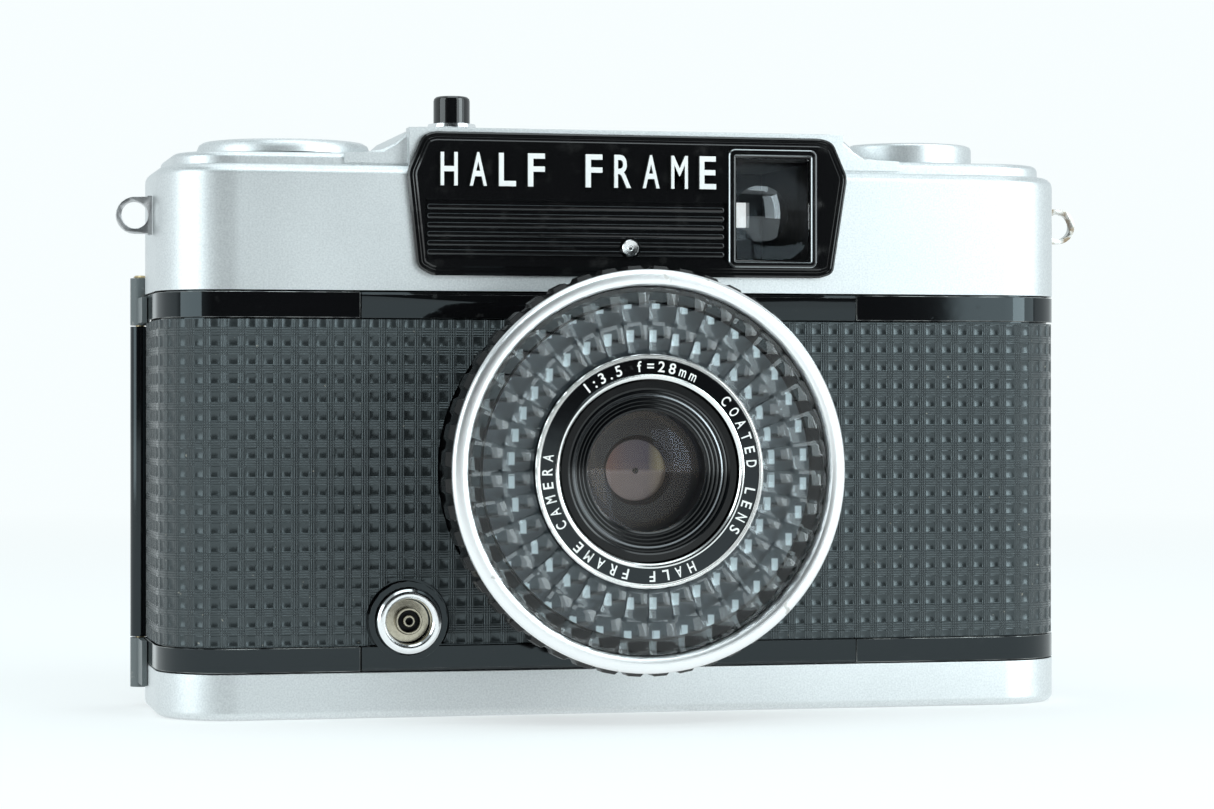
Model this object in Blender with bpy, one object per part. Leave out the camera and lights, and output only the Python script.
"""Half frame camera of the selenium-metered viewfinder class, as an assembly of separate pieces.

All drawing is in millimetres and is scaled to metres when a piece is made.
X runs to the right of someone facing the lens, Y runs from the lens to the back, Z runs up.
The origin is the middle of the flat base.
"""
from math import asin, atan2, cos, degrees, pi, radians, sin, sqrt

import bmesh
import bpy
from mathutils import Matrix, Vector

MM = 0.001
SMOOTH_ANGLE = radians(32)
GAP = 0.15                      # between pieces that touch
CLEAR = 1.0                     # how far a cutting tool runs past what it cuts

# Body outline, seen from above
HALF_WIDTH = 56.0
FRONT = -13.5
BACK = 14.2
FRONT_CORNER = 9.0
REAR_CORNER = 6.0
CORNER_STEPS = 7

# Heights of the body's horizontal lines
BASE_TOP = 5.45
LOW_BAND_TOP = 8.44
HIGH_BAND_BOTTOM = 47.17
COVER_BOTTOM = 50.34
DECK_TOP = 52.4
SHOULDER = 63.9
LEDGE = 65.2
STEP_TOP = 65.95
PLATEAU = 66.7
HUMP_TOP = 69.9
WALL = 0.8

# Skins
BAND_INSET = 0.0
CORE_INSET = 0.7
LEATHER_OUTER = 0.1
LEATHER_INNER = 0.55
DOOR_SPLIT = 8.85
DOOR_INNER = 1.25
FILM_PLANE = 8.7

# Lens, named by radius and by distance in front of the body's mid plane
LENS_X = -2.41
LENS_Z = 29.33
HOUSING_R = 20.6
HOUSING_BORE = 19.5
HOUSING_BACK = 13.0
HOUSING_FRONT = 31.0
RIM_R = 23.07
RIM_BORE = 21.2
RIM_FRONT = 33.3
RING_R = 23.9
RING_LOBES = 48
CELL_INNER = 13.3
WINDOW_OUTER = 21.05
WINDOW_INNER = 13.55
NAME_RING_OUTER = 13.4
NAME_RING_INNER = 10.5
BARREL_R = 12.8
GLASS_R = 7.0
PORT_R = 4.2
BLADE_THICK = 0.2
BLADE_SWING = 35.0

# Front panel between the leathers, with the flash socket; distances in front of the mid plane
PANEL_LEFT = -32.7
PANEL_RIGHT = 27.9
PANEL_FACE = 12.8
PANEL_BACK = 11.6
PANEL_BAND = 13.7
SOCKET = (-27.2, 11.45)
SOCKET_BOSS_R = 4.7
SOCKET_R = 3.9

# Nameplate and the finder window in it
PLATE_FACE = 14.6
PLATE_BACK = 13.65
FINDER_LEFT = 12.6
FINDER_RIGHT = 22.1
FINDER_BOTTOM = 53.85
FINDER_TOP = 66.5
INDEX_DOT = (-0.48, 55.63)

# Film transport
CASSETTE = (38.65, 0.35)
CASSETTE_R = 12.55
CASSETTE_FLOOR = 6.9
CASSETTE_ROOF = 51.5
SPOOL = (-40.15, 2.0)
SPOOL_CHAMBER_R = 11.2
SPROCKET = (-21.0, 2.65)
SPROCKET_R = 6.05
WHEEL_R = 12.9
WHEEL_BOTTOM = 53.0
WHEEL_TOP = 56.4
GATE_WIDTH = 18.0
GATE_HEIGHT = 24.0

# Underside
TRIPOD = (12.0, 0.0)
SCREW_SPOTS = ((-46.0, 0.0), (46.0, -5.0), (30.0, 7.0))

# Top controls
BUTTON = (-20.4, -5.0)
COUNTER = (-40.15, 0.0)
SHOE_X = 6.6
KNOB_R = 8.4
KNOB_BOTTOM = 67.6
KNOB_TOP = 69.4
CRANK_PIVOT = (33.65, 68.9)
CRANK_REACH = 10.4

# Hinge of the back, on the left end of the body
HINGE = (-56.3, 12.0)
HINGE_R = 1.2
PIN_R = 0.55
TUBE_BOTTOM = 8.43
TUBE_TOP = 46.55

LOOKS = {
    "satin_chrome": ((0.62, 0.64, 0.65), 0.38, 1.0),
    "polished_chrome": ((0.80, 0.82, 0.83), 0.14, 1.0),
    "black_enamel": ((0.012, 0.012, 0.013), 0.22, 0.0),
    "black_plastic": ((0.010, 0.010, 0.011), 0.18, 0.0),
    "leatherette": ((0.030, 0.032, 0.033), 0.55, 0.0),
    "cast_alloy": ((0.28, 0.29, 0.30), 0.60, 0.9),
    "matt_black": ((0.015, 0.015, 0.015), 0.70, 0.0),
    "steel": ((0.50, 0.51, 0.52), 0.35, 1.0),
    "brass": ((0.62, 0.45, 0.20), 0.35, 1.0),
    "glass": ((0.85, 0.90, 0.92), 0.03, 0.0),
    "clear_plastic": ((0.80, 0.85, 0.87), 0.08, 0.0),
    "selenium": ((0.10, 0.11, 0.12), 0.45, 0.3),
    "dial_print": ((0.75, 0.75, 0.72), 0.50, 0.0),
    "blade_steel": ((0.09, 0.07, 0.06), 0.40, 0.8),
}

TOP = Matrix.Identity(3)
FACING = Matrix.Rotation(pi / 2, 3, "X")
SIDE = Matrix(((0, 0, 1), (1, 0, 0), (0, 1, 0)))


# Shapes --------------------------------------------------------------------------------------

def arc(centre, radius, start, end, steps):
    """Points on a circular arc, with the angles in degrees."""
    points = []
    for index in range(steps + 1):
        angle = radians(start + (end - start) * index / steps)
        points.append((centre[0] + radius * cos(angle), centre[1] + radius * sin(angle)))
    return points


def circle(radius, count, centre=(0.0, 0.0)):
    return arc(centre, radius, 0, 360, count)[:-1]


def toothed(root, tip, count, fractions, centre=(0.0, 0.0)):
    """Outline of a ring of teeth; fractions place four points within each pitch."""
    points = []
    for tooth in range(count):
        for fraction, radius in zip(fractions, (root, tip, tip, root)):
            angle = 2 * pi * (tooth + fraction) / count
            points.append((centre[0] + radius * cos(angle), centre[1] + radius * sin(angle)))
    return points


def plan(inset=0.0):
    """Outline of the body seen from above, drawn inwards by an inset."""
    half = HALF_WIDTH - inset
    front_r = FRONT_CORNER - inset
    rear_r = REAR_CORNER - inset
    front_y = FRONT + FRONT_CORNER
    rear_y = BACK - REAR_CORNER
    return (arc((half - front_r, front_y), front_r, -90, 0, CORNER_STEPS)
            + arc((half - rear_r, rear_y), rear_r, 0, 90, CORNER_STEPS)
            + arc((rear_r - half, rear_y), rear_r, 90, 180, CORNER_STEPS)
            + arc((front_r - half, front_y), front_r, 180, 270, CORNER_STEPS))


def stacked(levels, turn=TOP):
    """Closed solid through outlines of equal point count, each given with its height."""
    bm = bmesh.new()
    outline, height = levels[0]
    face = bm.faces.new([bm.verts.new((x, y, height)) for x, y in outline])
    for index, (outline_up, height_up) in enumerate(levels[1:]):
        grown = bmesh.ops.extrude_face_region(bm, geom=[face])["geom"]
        if index > 0:
            bm.faces.remove(face)
        face = next(item for item in grown if isinstance(item, bmesh.types.BMFace))
        start = min(face.verts, key=lambda v: (v.co.xy - Vector(outline[0])).length)
        loop = next(corner for corner in face.loops if corner.vert == start)
        follows = (loop.link_loop_next.vert.co.xy - Vector(outline[1])).length < 1e-4
        for x, y in outline_up:
            loop.vert.co = (x, y, height_up)
            loop = loop.link_loop_next if follows else loop.link_loop_prev
        outline = outline_up
    bmesh.ops.recalc_face_normals(bm, faces=bm.faces)
    bmesh.ops.transform(bm, matrix=turn.to_4x4(), verts=bm.verts)
    return bm


def slab(outline, bottom, top, turn=TOP):
    return stacked([(outline, bottom), (outline, top)], turn)


def block(low, high):
    bm = bmesh.new()
    size = [b - a for a, b in zip(low, high)]
    middle = [(a + b) / 2 for a, b in zip(low, high)]
    bmesh.ops.create_cube(bm, size=1.0)
    bmesh.ops.scale(bm, vec=size, verts=bm.verts)
    bmesh.ops.translate(bm, vec=middle, verts=bm.verts)
    return bm


def rod(centre, radius, bottom, top, steps=32, turn=TOP):
    return slab(circle(radius, steps, centre), bottom, top, turn)


def turned(profile, steps=32, centre=(0.0, 0.0), turn=TOP):
    """Solid of revolution; a profile with both ends on the axis is open, any other is a ring."""
    bm = bmesh.new()
    verts = [bm.verts.new((radius, 0, height)) for radius, height in profile]
    edges = [bm.edges.new(pair) for pair in zip(verts, verts[1:])]
    if profile[0][0] > 0:
        edges.append(bm.edges.new((verts[-1], verts[0])))
    bmesh.ops.spin(bm, geom=verts + edges, cent=(0, 0, 0), axis=(0, 0, 1), angle=2 * pi,
                   steps=steps, use_merge=True)
    bmesh.ops.remove_doubles(bm, verts=bm.verts, dist=1e-4)
    bmesh.ops.recalc_face_normals(bm, faces=bm.faces)
    bmesh.ops.translate(bm, vec=(centre[0], centre[1], 0), verts=bm.verts)
    bmesh.ops.transform(bm, matrix=turn.to_4x4(), verts=bm.verts)
    return bm


def lens_turned(profile, steps=40):
    """Solid of revolution about the lens axis; heights are distances in front of the mid plane."""
    return turned(profile, steps, (LENS_X, LENS_Z), FACING)


def ring_profile(inner, outer, low, high):
    return [(inner, low), (outer, low), (outer, high), (inner, high)]


# Objects -------------------------------------------------------------------------------------

def place_object(bm, name, origin):
    shift = Vector(origin)
    bmesh.ops.translate(bm, vec=-shift, verts=bm.verts)
    bmesh.ops.scale(bm, vec=(MM, MM, MM), verts=bm.verts)
    mesh = bpy.data.meshes.new(name)
    bm.to_mesh(mesh)
    bm.free()
    mesh.shade_smooth()
    mesh.set_sharp_from_angle(angle=SMOOTH_ANGLE)
    item = bpy.data.objects.new(name, mesh)
    item.location = shift * MM
    bpy.context.scene.collection.objects.link(item)
    return item


def finish(name, look):
    colour, roughness, metallic = LOOKS[look]
    material = bpy.data.materials.new(name + "_" + look)
    material.use_nodes = True
    shader = material.node_tree.nodes["Principled BSDF"]
    shader.inputs["Base Color"].default_value = (*colour, 1.0)
    shader.inputs["Roughness"].default_value = roughness
    shader.inputs["Metallic"].default_value = metallic
    if look in ("glass", "clear_plastic"):
        shader.inputs["Alpha"].default_value = 0.35
    return material


def piece(bm, name, look, origin=(0.0, 0.0, 0.0)):
    """Make a named piece; a moving piece is given an origin on its own axis."""
    item = place_object(bm, name, origin)
    item.data.materials.append(finish(name, look))
    return item


def shape(item, operation, bm, label):
    """Cut a tool out of a piece, or weld it on."""
    tool = place_object(bm, item.name + "_" + label, (0.0, 0.0, 0.0))
    tool.hide_render = True
    tool.display_type = "WIRE"
    modifier = item.modifiers.new(label, "BOOLEAN")
    modifier.operation = operation
    modifier.solver = "EXACT"
    modifier.object = tool


def cut(item, bm, label):
    shape(item, "DIFFERENCE", bm, label)


def weld(item, bm, label):
    shape(item, "UNION", bm, label)


# Body ----------------------------------------------------------------------------------------

def banded_levels(bottom, top):
    """Levels of a body wall with a proud enamel band along its bottom and its top."""
    band = plan(BAND_INSET)
    core = plan(CORE_INSET)
    return [(band, bottom), (band, LOW_BAND_TOP), (core, LOW_BAND_TOP), (core, HIGH_BAND_BOTTOM),
            (band, HIGH_BAND_BOTTOM), (band, top)]


def chamber(centre, radius, floor, roof):
    """Tool for a film chamber: round at the front and open to the back."""
    outline = arc(centre, radius, 180, 360, 16)
    outline += [(centre[0] + radius, BACK + CLEAR), (centre[0] - radius, BACK + CLEAR)]
    return slab(outline, floor, roof)


def body_casting():
    levels = banded_levels(BASE_TOP + GAP, COVER_BOTTOM - GAP)
    deck = plan(WALL + 2 * GAP)
    levels += [(deck, COVER_BOTTOM - GAP), (deck, DECK_TOP)]
    body = piece(stacked(levels), "body_casting", "cast_alloy")
    wide = HALF_WIDTH + CLEAR
    cut(body, block((-wide, FILM_PLANE, 0), (wide, BACK + CLEAR, DECK_TOP + CLEAR)), "back_plane")
    cut(body, block((PANEL_LEFT - GAP, FRONT - CLEAR, 0),
                    (PANEL_RIGHT + GAP, -PANEL_BACK + GAP, COVER_BOTTOM)), "panel_seat")
    cut(body, chamber(CASSETTE, CASSETTE_R, CASSETTE_FLOOR, CASSETTE_ROOF), "cassette_chamber")
    cut(body, chamber(SPOOL, SPOOL_CHAMBER_R, 7.5, 50.9), "spool_chamber")
    slot = SPROCKET_R + 0.85
    cut(body, block((SPROCKET[0] - slot, SPROCKET[1] - slot, 8.0),
                    (SPROCKET[0] + slot, BACK, 49.6)), "sprocket_slot")
    cut(body, block((-13.3, -9.6, 15.0), (8.5, 6.9, 43.7)), "light_tunnel")
    gate_low = (LENS_X - GATE_WIDTH / 2, 0.0, LENS_Z - GATE_HEIGHT / 2)
    gate_high = (LENS_X + GATE_WIDTH / 2, BACK, LENS_Z + GATE_HEIGHT / 2)
    cut(body, block(gate_low, gate_high), "picture_gate")
    cut(body, rod((LENS_X, LENS_Z), 9.6, 5.0, 15.0, 32, FACING), "lens_hole")
    cut(body, block((10.0, -9.6, 9.0), (24.9, 6.9, DECK_TOP + CLEAR)), "weight_pocket")
    cut(body, rod(CASSETTE, 6.0, 0, CASSETTE_FLOOR + 0.5, 24), "cassette_boss_hole")
    cut(body, rod(CASSETTE, 3.4, CASSETTE_ROOF - 0.5, DECK_TOP + CLEAR, 24), "fork_hole")
    cut(body, rod(SPOOL, 3.4, 50.0, DECK_TOP + CLEAR, 24), "spool_shaft_hole")
    cut(body, rod(SPROCKET, 2.2, 49.0, DECK_TOP + CLEAR, 24), "sprocket_shaft_hole")
    cut(body, rod(SPROCKET, 2.2, 0, 8.5, 24), "release_hole")


def top_cover():
    outer = [(plan(), COVER_BOTTOM + 0.06), (plan(), SHOULDER), (plan(0.4), SHOULDER + 0.9),
             (plan(1.3), LEDGE), (plan(1.9), LEDGE + 0.05), (plan(2.0), STEP_TOP),
             (plan(2.25), STEP_TOP + 0.5), (plan(2.8), PLATEAU)]
    cover = piece(stacked(outer), "top_cover", "satin_chrome")
    hump = [(-28.7, LEDGE), (-28.3, PLATEAU), (-25.4, HUMP_TOP), (25.2, HUMP_TOP),
            (28.0, PLATEAU), (28.3, LEDGE)][::-1]
    weld(cover, slab(hump, -12.9, -FRONT - 0.05, FACING), "hump")
    inner = [(plan(WALL), COVER_BOTTOM - CLEAR), (plan(WALL), SHOULDER - 0.4),
             (plan(2.8), PLATEAU - WALL)]
    cut(cover, stacked(inner), "hollow")
    hollow = [(-27.4, LEDGE - 3), (-27.2, PLATEAU - 0.5), (-24.8, HUMP_TOP - WALL),
              (24.6, HUMP_TOP - WALL), (26.8, PLATEAU - 0.5), (27.0, LEDGE - 3)][::-1]
    cut(cover, slab(hollow, -12.1, -FRONT - WALL - 0.05, FACING), "hump_hollow")
    cut(cover, block((11.0, FRONT - CLEAR, 52.8), (23.5, FRONT + 2 * CLEAR, 67.6)), "finder_hole")
    cut(cover, block((11.8, BACK - 2.5, 56.0), (22.6, BACK + CLEAR, 65.0)), "eyepiece_hole")
    cut(cover, rod(BUTTON, 2.45, 66.0, 72.0, 24), "button_hole")
    cut(cover, rod(COUNTER, 3.0, 64.0, 68.0, 24), "counter_hole")
    cut(cover, rod(CASSETTE, 2.9, 64.0, 68.0, 24), "rewind_hole")
    cut(cover, block((SHOE_X - 10.1, 2.8, 67.6), (SHOE_X + 10.1, BACK, 72.0)), "shoe_seat")
    cut(cover, block((SPOOL[0] - 9.5, BACK - 2.0, WHEEL_BOTTOM - 0.4),
                     (SPOOL[0] + 9.5, BACK + CLEAR, WHEEL_TOP + 0.4)), "wheel_slot")


def bottom_cover():
    rounded = [(plan(1.0), 0.0), (plan(0.3), 0.25), (plan(), 0.9), (plan(), BASE_TOP)]
    cover = piece(stacked(rounded), "bottom_cover", "satin_chrome")
    cut(cover, stacked([(plan(1.4), 1.0), (plan(WALL), 1.8), (plan(WALL), BASE_TOP + CLEAR)]),
        "hollow")
    cut(cover, rod(TRIPOD, 4.8, -CLEAR, 3.0, 24), "tripod_hole")
    cut(cover, rod(SPROCKET, 2.0, -CLEAR, 3.0, 24), "release_hole")
    for index, spot in enumerate(SCREW_SPOTS):
        sink = turned([(0, -CLEAR), (1.9, -CLEAR), (1.9, 0.5), (0.95, 0.55), (0.95, 3.0),
                       (0, 3.0)], 16, spot)
        cut(cover, sink, "screw_sink_%d" % (index + 1))
        screw = [(0, 0.12), (1.5, 0.12), (1.7, 0.25), (1.7, 0.4), (0.75, 0.45), (0.75, 4.8),
                 (0, 4.8)]
        head = piece(turned(screw, 16, spot), "base_screw_%d" % (index + 1), "steel")
        cut(head, block((spot[0] - 2, spot[1] - 0.2, -CLEAR), (spot[0] + 2, spot[1] + 0.2, 0.3)),
            "slot")
    bush = [(3.05, 0.15), (4.6, 0.15), (4.6, 1.3), (6.5, 1.35), (6.5, 2.6), (4.6, 2.65),
            (4.6, 5.2), (3.05, 5.2)]
    piece(turned(bush, 24, TRIPOD), "tripod_socket", "steel")


def front_panel():
    low = BASE_TOP + GAP
    high = COVER_BOTTOM - GAP
    section = [(-PANEL_BACK, low), (-PANEL_BAND + 0.25, low), (-PANEL_BAND, low + 0.3),
               (-PANEL_BAND, LOW_BAND_TOP), (-PANEL_FACE, LOW_BAND_TOP),
               (-PANEL_FACE, HIGH_BAND_BOTTOM), (-PANEL_BAND, HIGH_BAND_BOTTOM),
               (-PANEL_BAND, high - 0.3), (-PANEL_BAND + 0.25, high), (-PANEL_BACK, high)][::-1]
    panel = piece(slab(section, PANEL_LEFT, PANEL_RIGHT, SIDE), "front_panel", "black_enamel")
    weld(panel, rod(SOCKET, SOCKET_BOSS_R, PANEL_BACK + 0.3, PANEL_BAND + 0.2, 32, FACING), "boss")
    cut(panel, rod(SOCKET, SOCKET_R + GAP, PANEL_FACE, 15.0, 32, FACING), "socket_bore")
    cut(panel, rod((LENS_X, LENS_Z), HOUSING_R + 0.4, PANEL_FACE, 15.0, 64, FACING), "lens_seat")
    cut(panel, rod((LENS_X, LENS_Z), 9.8, 10.0, 15.0, 32, FACING), "lens_hole")


def leather_sheet(name, side, inner_x):
    """A covering that starts beside the lens, turns the front corner and ends at the back."""
    def path(inset):
        radius = FRONT_CORNER - inset
        centre = (HALF_WIDTH - FRONT_CORNER, FRONT + FRONT_CORNER)
        points = [(inner_x * side, FRONT + inset)]
        points += arc(centre, radius, -90, 0, CORNER_STEPS)
        points.append((HALF_WIDTH - inset, FILM_PLANE - 0.3))
        return points
    outline = path(LEATHER_OUTER) + path(LEATHER_INNER)[::-1]
    outline = [(x * side, y) for x, y in outline]
    if side < 0:
        outline = outline[::-1]
    sheet = piece(slab(outline, LOW_BAND_TOP + 0.2, HIGH_BAND_BOTTOM - 0.2), name, "leatherette")
    cut(sheet, rod((LENS_X, LENS_Z), HOUSING_R + 0.6, 10.0, 15.0, 64, FACING), "lens_edge")
    return sheet


def leathers():
    left = leather_sheet("leather_left", -1, -4.0)
    cut(left, rod(SOCKET, SOCKET_BOSS_R + 0.3, 10.0, 15.0, 32, FACING), "socket_edge")
    leather_sheet("leather_right", 1, -1.0)


def lugs():
    for name, side in (("strap_lug_left", -1), ("strap_lug_right", 1)):
        outline = [(56.15, -2.35), (56.7, -2.35), (56.7, -2.2)]
        outline += arc((58.2, 0.0), 2.2, -90, 90, 12)
        outline += [(56.7, 2.2), (56.7, 2.35), (56.15, 2.35)]
        outline = [(x * side, z + 59.5) for x, z in outline]
        if side < 0:
            outline = outline[::-1]
        lug = piece(slab(outline, 1.45, 2.55, FACING), name, "polished_chrome")
        cut(lug, rod((58.2 * side, 59.5), 1.6, 1.0, 3.0, 24, FACING), "eye")


# Nameplate and finder ------------------------------------------------------------------------

def nameplate():
    outline = [(-26.2, 53.2), (-24.5, 52.2), (23.4, 52.25), (24.9, 52.85), (26.7, 64.45),
               (24.9, 68.65), (23.4, 69.16), (-24.4, 69.2), (-25.6, 68.6), (-27.4, 64.4)]
    bm = slab(outline, PLATE_BACK, PLATE_FACE, FACING)
    rim = [edge for edge in bm.edges if all(v.co.y < -PLATE_FACE + 1e-3 for v in edge.verts)]
    bmesh.ops.bevel(bm, geom=rim, offset=0.5, segments=2, profile=0.5, affect="EDGES",
                    material=-1)
    plate = piece(bm, "nameplate", "black_plastic")
    cut(plate, block((FINDER_LEFT, -20, FINDER_BOTTOM), (FINDER_RIGHT, -10, FINDER_TOP)), "window")
    cut(plate, block((-25.2, -20, 54.6), (11.1, -PLATE_FACE + 0.35, 60.7)), "rib_field")
    cut(plate, rod(INDEX_DOT, 1.15, PLATE_FACE - 0.6, 16.0, 20, FACING), "index_seat")
    piece(turned([(0, PLATE_FACE - 0.5), (1.0, PLATE_FACE - 0.5), (1.0, PLATE_FACE + 0.1),
                  (0.8, PLATE_FACE + 0.2), (0, PLATE_FACE + 0.2)], 24, INDEX_DOT, FACING),
          "index_dot", "polished_chrome")


def finder():
    piece(block((11.3, -13.45, 53.1), (23.2, -12.75, 67.3)), "finder_window", "glass")
    tunnel = piece(block((11.1, -12.4, 53.4), (23.4, 11.6, 67.2)), "finder_tunnel", "matt_black")
    cut(tunnel, block((12.1, -14.0, 54.3), (22.4, 13.0, 66.3)), "bore")
    front = block((12.25, -11.6, 54.45), (22.25, -9.2, 66.15))
    objective = piece(front, "finder_objective", "glass")
    ball = bmesh.new()
    bmesh.ops.create_uvsphere(ball, u_segments=40, v_segments=24, radius=14.0)
    bmesh.ops.translate(ball, vec=(17.2, 3.8, 60.3), verts=ball.verts)
    cut(objective, ball, "hollow_back")
    rear = turned([(0, -11.3), (3.2, -11.2), (4.7, -10.9), (4.7, -9.6), (0, -9.4)], 32,
                  (17.2, 60.3), FACING)
    piece(rear, "finder_eyepiece", "glass")
    frame = piece(block((12.0, 12.4, 56.2), (22.4, 14.7, 64.8)), "eyepiece_frame", "black_plastic")
    cut(frame, block((13.2, 10.0, 57.4), (21.2, 16.0, 63.6)), "opening")


# Top controls --------------------------------------------------------------------------------

def hot_shoe():
    half = 9.9
    lip = 6.55
    floor = 68.5
    section = [(-half, 67.9), (half, 67.9), (half, 71.1), (lip, 71.1), (lip, 70.5),
               (half - 0.6, 70.5), (half - 0.6, floor), (0.6 - half, floor), (0.6 - half, 70.5),
               (-lip, 70.5), (-lip, 71.1), (-half, 71.1)]
    section = [(x + SHOE_X, z) for x, z in section]
    piece(slab(section, -12.9, -3.0, FACING), "hot_shoe", "polished_chrome")
    piece(turned([(0, floor + 0.05), (1.5, floor + 0.05), (1.5, floor + 0.25), (1.0, floor + 0.45),
                  (0, floor + 0.45)], 24, (SHOE_X, 8.0)), "hot_shoe_contact", "brass")


def shutter_button():
    press = [(0, 58.0), (1.3, 58.0), (1.3, 66.3), (2.9, 66.4), (2.9, 67.0), (2.2, 67.1),
             (2.2, 73.7), (1.9, 74.1), (0, 74.0)]
    piece(turned(press, 24, BUTTON), "shutter_button", "black_enamel", (*BUTTON, 70.0))
    piece(turned(ring_profile(2.42, 2.9, HUMP_TOP + 0.1, 70.7), 24, BUTTON), "button_collar",
          "polished_chrome")


def counter():
    bezel = [(8.2, PLATEAU + GAP), (10.5, PLATEAU + GAP), (10.5, 67.9), (10.0, 68.4), (8.8, 68.4),
             (8.2, 68.1)]
    piece(turned(bezel, 36, COUNTER), "counter_bezel", "satin_chrome")
    piece(turned([(0, 67.75), (8.0, 67.75), (8.0, 68.05), (0, 68.2)], 36, COUNTER),
          "counter_window", "clear_plastic")
    dial = [(0, 60.0), (1.2, 60.0), (1.2, PLATEAU + 0.2), (7.8, PLATEAU + 0.2), (7.8, 67.4),
            (0, 67.4)]
    piece(turned(dial, 36, COUNTER), "counter_dial", "dial_print", (*COUNTER, 67.0))


def rewind():
    sleeve = [(1.75, 60.5), (2.5, 60.5), (2.5, PLATEAU + 0.1), (3.3, PLATEAU + 0.15),
              (3.3, 67.4), (1.75, 67.4)]
    piece(turned(sleeve, 20, CASSETTE), "rewind_sleeve", "steel", (*CASSETTE, 64.0))
    shaft = [(0, 49.2), (2.6, 49.2), (2.6, 53.6), (1.6, 53.8), (1.6, KNOB_BOTTOM - 0.1),
             (0, KNOB_BOTTOM - 0.1)]
    fork = piece(turned(shaft, 24, CASSETTE), "rewind_fork", "steel", (*CASSETTE, 53.0))
    cut(fork, block((CASSETTE[0] - 1.1, CASSETTE[1] - 4, 48.0),
                    (CASSETTE[0] + 1.1, CASSETTE[1] + 4, 52.0)), "prongs")
    rim = toothed(KNOB_R - 0.25, KNOB_R, 32, (0.0, 0.25, 0.5, 0.75), CASSETTE)
    knob = piece(slab(rim, KNOB_BOTTOM, KNOB_TOP), "rewind_knob", "satin_chrome",
                 (*CASSETTE, 68.0))
    middle = CASSETTE[1]
    cut(knob, block((CASSETTE[0] - 12, middle - 2.5, 68.35), (CASSETTE[0] + 12, middle + 2.5, 72)),
        "crank_slot")
    tip = (CRANK_PIVOT[0] + CRANK_REACH, middle)
    cut(knob, rod(tip, 2.3, 66.0, 69.0, 24), "handle_hole")
    heel = CRANK_PIVOT[0] - 0.3
    arm = [(heel, middle + 0.9), (heel, middle - 0.9)]
    arm += arc(tip, 2.2, -115, 115, 12)
    crank = piece(slab(arm, 68.5, 69.3), "rewind_crank", "satin_chrome",
                  (CRANK_PIVOT[0], middle, CRANK_PIVOT[1]))
    cut(crank, rod(tip, 1.1, 68.0, 70.0, 20), "rivet_hole")
    handle = [(0, 67.0), (1.7, 67.0), (1.95, 67.3), (1.95, 68.3), (1.0, 68.35), (1.0, 69.25),
              (0, 69.25)]
    piece(turned(handle, 24, tip), "crank_handle", "black_plastic", (*tip, 68.0))


def film_transport():
    teeth = (0.0, 0.25, 0.5, 0.75)
    rim = toothed(WHEEL_R - 0.35, WHEEL_R, 48, teeth, SPOOL)
    wheel = piece(slab(rim, WHEEL_BOTTOM, WHEEL_TOP), "advance_wheel", "black_plastic",
                  (*SPOOL, 54.0))
    cut(wheel, rod(SPOOL, 2.2, 50.0, 60.0, 24), "shaft_bore")
    spool = [(0, 8.4), (2.5, 8.4), (2.5, 9.2), (9.4, 9.2), (9.4, 10.2), (6.0, 10.4),
             (6.0, 48.0), (9.4, 48.2), (9.4, 49.2), (2.05, 49.4), (2.05, 58.5), (0, 58.5)]
    drum = piece(turned(spool, 28, SPOOL), "take_up_spool", "black_plastic", (*SPOOL, 29.0))
    cut(drum, block((SPOOL[0] - 0.6, SPOOL[1] - 9, 13.0), (SPOOL[0] + 0.6, SPOOL[1] + 9, 45.5)),
        "film_slot")
    notch = (0.02, 0.08, 0.17, 0.23)
    plain = [(r * cos(a), r * sin(a)) for r, a in sprocket_outline(SPROCKET_R, SPROCKET_R, notch)]
    crown = [(r * cos(a), r * sin(a)) for r, a in sprocket_outline(SPROCKET_R, 6.85, notch)]
    hub = [(x * 0.3, y * 0.3) for x, y in plain]
    low = LENS_Z - 14.1
    high = LENS_Z + 14.1
    levels = [(plain, 8.6), (plain, low - 0.8), (crown, low - 0.8), (crown, low + 0.8),
              (plain, low + 0.8), (plain, high - 0.8), (crown, high - 0.8), (crown, high + 0.8),
              (plain, high + 0.8), (plain, 48.6), (hub, 48.6), (hub, 56.0)]
    levels = [([(x + SPROCKET[0], y + SPROCKET[1]) for x, y in line], z) for line, z in levels]
    piece(stacked(levels), "film_sprocket", "steel", (*SPROCKET, 29.0))
    release = [(0, 0.25), (1.6, 0.25), (1.8, 0.5), (1.8, 6.4), (0, 6.4)]
    piece(turned(release, 24, SPROCKET), "rewind_release_button", "steel", (*SPROCKET, 3.0))


def sprocket_outline(root, tip, notch, teeth=8, spare=1):
    """Radius and angle of each outline point: four for a tooth, then plain ones to the next."""
    points = []
    for tooth in range(teeth):
        for fraction, radius in zip(notch, (root, tip, tip, root)):
            points.append((radius, 2 * pi * (tooth + fraction) / teeth))
        for index in range(1, spare + 1):
            fraction = notch[-1] + (1 - notch[-1]) * index / (spare + 1)
            points.append((root, 2 * pi * (tooth + fraction) / teeth))
    return points


# Lens ----------------------------------------------------------------------------------------

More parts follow.
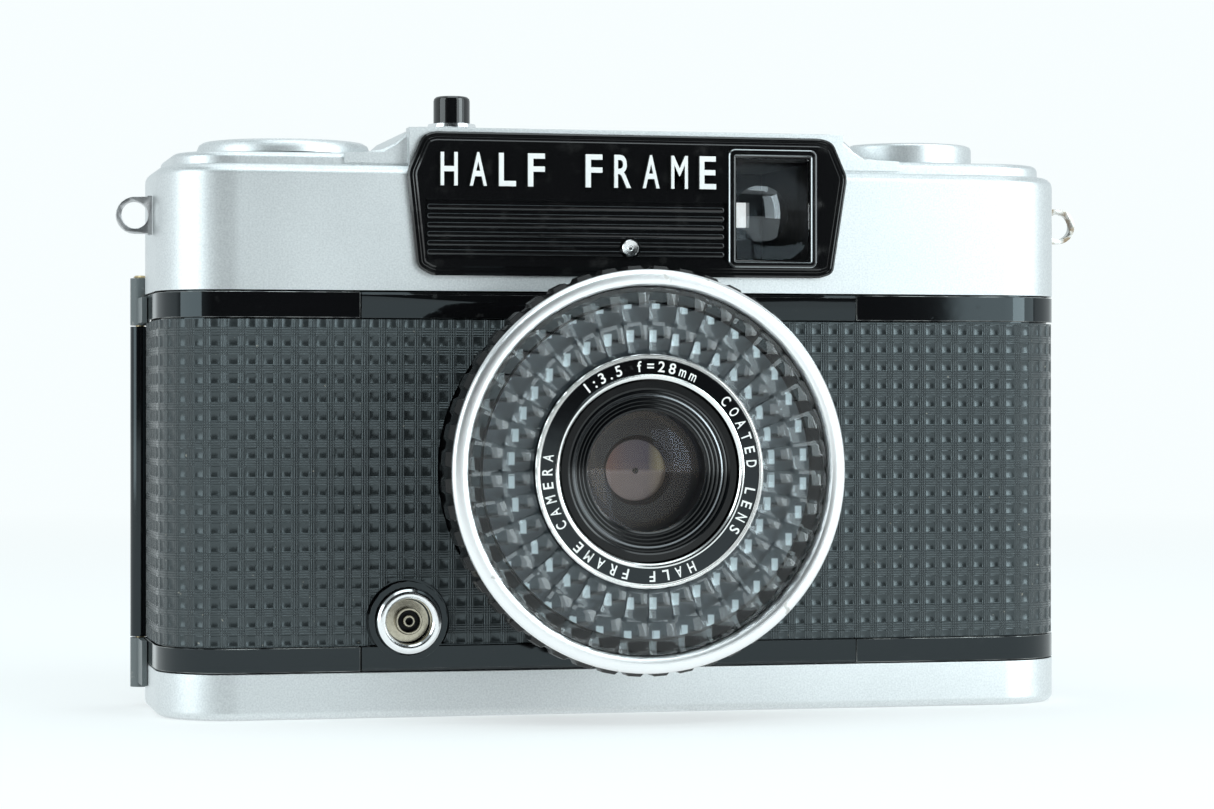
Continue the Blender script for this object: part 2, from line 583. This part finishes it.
def lens_shell():
    housing = [(10.0, HOUSING_BACK), (HOUSING_R, HOUSING_BACK), (HOUSING_R, HOUSING_FRONT),
               (HOUSING_BORE, HOUSING_FRONT), (HOUSING_BORE, 14.5), (10.0, 14.5)]
    piece(lens_turned(housing), "shutter_housing", "black_enamel")
    rim = [(RIM_BORE, 31.4), (22.0, 31.4), (22.0, 32.35), (RIM_R, 32.4), (RIM_R, 32.9),
           (RIM_R - 0.35, RIM_FRONT), (RIM_BORE + 0.5, RIM_FRONT), (RIM_BORE, 32.9)]
    piece(lens_turned(rim, 56), "rim_ring", "polished_chrome")
    pitch = (0.13, 0.26, 0.74, 0.87)
    lobes = toothed(RING_R - 0.4, RING_R, RING_LOBES, pitch, (LENS_X, LENS_Z))
    nose = toothed(RIM_R, RIM_R + 0.05, RING_LOBES, pitch, (LENS_X, LENS_Z))
    ring = piece(stacked([(lobes, 28.3), (lobes, 31.0), (nose, 32.25)], FACING),
                 "aperture_ring", "black_plastic", (LENS_X, -30.0, LENS_Z))
    cut(ring, lens_turned([(0, 27.0), (20.85, 27.0), (20.85, 31.2), (22.2, 31.2), (22.2, 34.0),
                           (0, 34.0)], 48), "bore")


def lens_cells():
    barrel = [(9.4, 32.0), (6.9, 30.7), (6.6, 30.3), (6.6, 30.0), (GLASS_R + 0.2, 29.9),
              (GLASS_R + 0.2, 26.6), (5.2, 26.5), (4.6, 25.6), (BARREL_R, 25.6),
              (19.2, 25.6), (19.2, 26.6), (BARREL_R, 26.6), (BARREL_R, 30.7), (10.3, 30.7),
              (10.3, 32.0)]
    piece(lens_turned(barrel, 32), "lens_barrel", "matt_black")
    name_ring = [(NAME_RING_INNER, 30.95), (NAME_RING_OUTER, 30.95), (NAME_RING_OUTER, 32.3),
                 (12.9, 32.6), (11.1, 32.6), (NAME_RING_INNER, 32.3)]
    piece(lens_turned(name_ring), "name_ring", "black_enamel")
    piece(lens_turned(ring_profile(CELL_INNER, HOUSING_BORE - 0.3, 30.1, 30.9)),
          "selenium_cell", "selenium")
    window = [(WINDOW_INNER, 31.2), (WINDOW_OUTER, 31.2), (WINDOW_OUTER, 32.2), (17.0, 32.4),
              (WINDOW_INNER, 32.2)]
    piece(lens_turned(window), "cell_window", "clear_plastic")
    glass = GLASS_R
    front = [(0, 30.75)] + dome(glass - 0.55, 30.75, 14.0) + [(glass, 29.75), (glass, 28.9),
                                                             (0, 28.9)]
    piece(lens_turned(front, 24), "front_element", "glass")
    middle = [(0, 28.2), (glass - 1.0, 28.6), (glass, 28.6), (glass, 27.2), (glass - 1.0, 27.2),
              (0, 27.7)]
    piece(lens_turned(middle, 24), "middle_element", "glass")
    rear = [(0, 21.4), (4.9, 21.0), (4.9, 18.6), (0, 18.0)]
    piece(lens_turned(rear, 24), "rear_element", "glass")


def dome(radius, crown, curvature, steps=3):
    """Points of a shallow spherical face from near the axis out to a radius."""
    return [(radius * i / steps,
             crown - curvature + sqrt(curvature ** 2 - (radius * i / steps) ** 2))
            for i in range(1, steps + 1)]


def shutter():
    plate = [(PORT_R, 22.4), (5.1, 21.6), (5.1, 17.6), (9.2, 17.6), (9.2, 22.0), (19.2, 22.0),
             (19.2, 23.3), (PORT_R, 23.3)]
    piece(lens_turned(plate, 32), "shutter_plate", "matt_black")
    layers = (("shutter_blade_upper", 1, -1, 0.0, 24.6), ("shutter_blade_lower", -1, -1, 0.0, 24.3),
              ("aperture_blade_upper", 1, 1, BLADE_SWING - 10, 24.0),
              ("aperture_blade_lower", -1, 1, BLADE_SWING - 10, 23.7))
    for name, up, side, swing, layer in layers:
        blade(name, up, side, swing, layer)


def blade(name, up, side, swing, layer):
    """Thin leaf that swings on a pivot beside the port and covers one half of it."""
    pivot = (12.5 * side, 3.5 * up)
    lap = -0.3
    reach = 5.2
    leaf = [(-side * reach, lap * up)]
    leaf += [(-side * reach * cos(radians(a)), up * reach * sin(radians(a)))
             for a in range(10, 131, 20)]
    lug = [(pivot[0], pivot[1] + 1.5 * up), (pivot[0] + 1.5 * side, pivot[1]),
           (pivot[0], pivot[1] - 1.5 * up), (side * reach, lap * up)]
    turn = radians(swing) * up * -side
    points = []
    for x, z in leaf + lug:
        dx = x - pivot[0]
        dz = z - pivot[1]
        points.append((LENS_X + pivot[0] + dx * cos(turn) - dz * sin(turn),
                       LENS_Z + pivot[1] + dx * sin(turn) + dz * cos(turn)))
    piece(slab(points, layer, layer + BLADE_THICK, FACING), name, "blade_steel",
          (LENS_X + pivot[0], -layer, LENS_Z + pivot[1]))


def sync_socket():
    shell = [(2.65, PANEL_FACE + 0.1), (SOCKET_R, PANEL_FACE + 0.1), (SOCKET_R, 14.6),
             (SOCKET_R - 0.4, 15.0), (2.95, 15.0), (2.65, 14.7)]
    piece(turned(shell, 24, SOCKET, FACING), "sync_socket_shell", "polished_chrome")
    core = [(0, PANEL_FACE + 0.1), (2.4, PANEL_FACE + 0.1), (2.4, 13.3), (1.6, 13.4), (1.6, 14.4),
            (1.15, 14.4), (1.15, 13.6), (0.7, 13.6), (0.7, 14.5), (0, 14.5)]
    piece(turned(core, 16, SOCKET, FACING), "sync_socket_core", "brass")


# Back ----------------------------------------------------------------------------------------

def hinge():
    for name, low, high in (("hinge_knuckle_top", TUBE_TOP + 0.15, 52.5),
                            ("hinge_knuckle_bottom", 2.22, TUBE_BOTTOM - 0.15)):
        knuckle = piece(turned(ring_profile(PIN_R + 0.12, HINGE_R, low, high), 20, HINGE), name,
                        "black_enamel")
        leaf_low = max(low, 2.6)
        leaf_high = min(high, 50.0)
        weld(knuckle, block((HINGE[0] - 0.4, 5.0, leaf_low + 0.2),
                            (-HALF_WIDTH - 0.08, HINGE[1] - PIN_R - 0.2, leaf_high)), "leaf")
    pin = [(0, 2.3), (PIN_R, 2.3), (PIN_R, 52.55), (0.85, 52.6), (0.6, 52.84), (0, 52.84)]
    piece(turned(pin, 16, HINGE), "hinge_pin", "brass")


def back_cover():
    levels = banded_levels(BASE_TOP + 0.3, COVER_BOTTOM - 0.3)
    door = piece(stacked(levels), "back_cover", "black_enamel", (*HINGE, 28.0))
    wide = HALF_WIDTH + CLEAR
    cut(door, block((-wide, FRONT - CLEAR, 0), (wide, DOOR_SPLIT + 0.15, 60)), "front_half")
    cut(door, slab(plan(DOOR_INNER), BASE_TOP + 1.0, COVER_BOTTOM + CLEAR), "hollow")
    tube = turned(ring_profile(PIN_R + 0.12, HINGE_R, TUBE_BOTTOM, TUBE_TOP), 20, HINGE)
    weld(door, tube, "hinge_tube")
    corner = Vector((REAR_CORNER - HALF_WIDTH - HINGE[0], BACK - REAR_CORNER - HINGE[1]))
    heading = atan2(corner.y, corner.x)
    near = PIN_R + 0.35
    far = corner.length - REAR_CORNER + 1.0
    web = block((near, -0.5, TUBE_BOTTOM + 0.3), (far, 0.5, TUBE_TOP - 0.3))
    bmesh.ops.rotate(web, cent=(0, 0, 0), matrix=Matrix.Rotation(heading, 3, "Z"), verts=web.verts)
    bmesh.ops.translate(web, vec=(*HINGE, 0), verts=web.verts)
    weld(door, web, "hinge_web")


def back_leather():
    def path(inset):
        radius = REAR_CORNER - inset
        centre = (HALF_WIDTH - REAR_CORNER, BACK - REAR_CORNER)
        points = [(HALF_WIDTH - inset, DOOR_SPLIT + 0.5)]
        points += arc(centre, radius, degrees(asin((DOOR_SPLIT + 0.6 - centre[1]) / radius)), 90,
                      CORNER_STEPS)
        points.append((-HALF_WIDTH + REAR_CORNER, BACK - inset))
        return points[1:]
    outline = path(LEATHER_OUTER) + path(LEATHER_INNER)[::-1]
    piece(slab(outline, LOW_BAND_TOP + 0.2, HIGH_BAND_BOTTOM - 0.2), "back_leather", "leatherette",
          (*HINGE, 28.0))


def pressure_plate():
    low = (LENS_X - 11.4, FILM_PLANE + 0.35, LENS_Z - 15.5)
    high = (LENS_X + 17.5, FILM_PLANE + 1.35, LENS_Z + 15.5)
    piece(block(low, high), "pressure_plate", "matt_black", (LENS_X, FILM_PLANE + 0.85, LENS_Z))
    rest = FILM_PLANE + 1.35 + 0.75
    sag = BACK - DOOR_INNER - 0.2 - rest
    bow = []
    for index in range(13):
        along = -1 + 2 * index / 12
        bow.append((LENS_X + 2.0 + 12.0 * along, rest + 0.25 + (sag - 0.25) * along * along))
    leaf = [(x, y) for x, y in bow] + [(x, y - 0.25) for x, y in bow[::-1]]
    piece(slab(leaf[::-1], LENS_Z - 4.0, LENS_Z + 4.0), "pressure_spring", "steel",
          (LENS_X, rest, LENS_Z))


def back_latch():
    side = HALF_WIDTH + 0.15
    plate = [(side, 2.2), (side + 0.6, 2.2), (side + 0.6, 3.0), (side + 1.4, 3.2),
             (side + 1.4, 3.9), (side + 0.6, 4.1), (side + 0.6, 7.4), (side, 7.4)]
    piece(slab(plate, 24.0, 36.0), "back_latch", "satin_chrome", (side, 4.8, 30.0))


def build():
    for item in list(bpy.data.objects):
        bpy.data.objects.remove(item, do_unlink=True)
    body_casting()
    top_cover()
    bottom_cover()
    front_panel()
    leathers()
    lugs()
    nameplate()
    finder()
    hot_shoe()
    shutter_button()
    counter()
    rewind()
    film_transport()
    lens_shell()
    lens_cells()
    shutter()
    sync_socket()
    hinge()
    back_cover()
    back_leather()
    pressure_plate()
    back_latch()


build()
